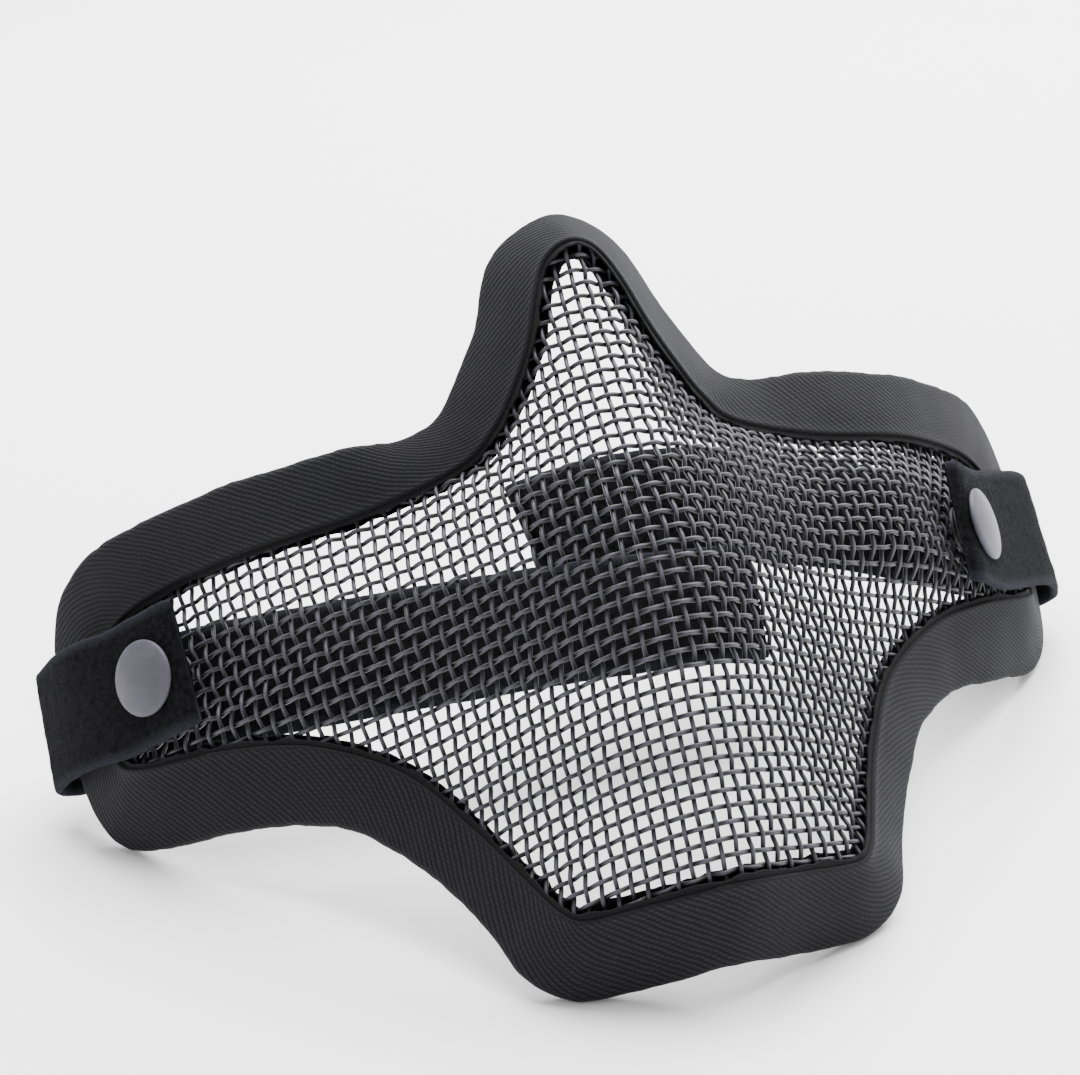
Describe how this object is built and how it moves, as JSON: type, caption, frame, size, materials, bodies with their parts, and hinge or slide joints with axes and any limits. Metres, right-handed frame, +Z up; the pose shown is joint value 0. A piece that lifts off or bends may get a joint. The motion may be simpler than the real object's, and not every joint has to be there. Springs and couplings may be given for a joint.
{
  "type": "mesh half face mask",
  "caption": "Black woven-steel-mesh lower face mask with bound edge, snap-fastened webbing straps and hook-and-loop tips.",
  "frame": {"origin": "on the surface the mask stands on, under the middle of its bounding box", "axes": "+X to the wearer's left, -Y out of the front of the face, +Z up; the mask leans back 45 degrees as it stands on its chin and wing corners"},
  "size_m": [0.225, 0.1296, 0.118],
  "materials": {
    "wire_mesh": "black coated woven steel wire, satin",
    "binding_tape": "black twill tape, matt",
    "webbing": "black brushed webbing, matt and fuzzy",
    "snap_cap": "grey satin cap",
    "snap_steel": "plain steel",
    "loop_pile": "black loop pile",
    "hook_tape": "black hook tape"
  },
  "bodies": {
    "root": {"wire_mesh_shell": "wire_mesh", "edge_binding": "binding_tape", "right_strap_fold": "webbing", "left_strap_fold": "webbing", "right_snap_stud": "snap_steel", "right_snap_post": "snap_steel", "left_snap_stud": "snap_steel", "left_snap_post": "snap_steel"},
    "right_flap": {"right_strap_flap": "webbing", "right_snap_cap": "snap_cap", "right_snap_socket": "snap_steel"},
    "left_flap": {"left_strap_flap": "webbing", "left_snap_cap": "snap_cap", "left_snap_socket": "snap_steel"},
    "right_strap": {"right_strap_rear": "webbing", "loop_patch": "loop_pile"},
    "left_strap": {"left_strap_rear": "webbing", "hook_patch": "hook_tape"}
  },
  "joints": [
    {"name": "right_flap_peel", "type": "hinge", "parent": "root", "child": "right_flap", "pos_m": [0.11126, 0.04911, 0.01952], "axis": [0, 0.7071, 0.7071], "range_deg": [0, 105]},
    {"name": "left_flap_peel", "type": "hinge", "parent": "root", "child": "left_flap", "pos_m": [-0.11126, 0.04911, 0.01952], "axis": [0, -0.7071, -0.7071], "range_deg": [0, 105]},
    {"name": "right_strap_swing", "type": "hinge", "parent": "root", "child": "right_strap", "pos_m": [0.1027, 0.05247, 0.01615], "axis": [0, -0.7071, -0.7071], "range_deg": [0, 100]},
    {"name": "left_strap_swing", "type": "hinge", "parent": "root", "child": "left_strap", "pos_m": [-0.1027, 0.05247, 0.01615], "axis": [0, 0.7071, 0.7071], "range_deg": [0, 35]}
  ],
  "couplings": [
    {"joint": "left_strap_swing", "follows": "right_strap_swing", "ratio": 0.35}
  ]
}
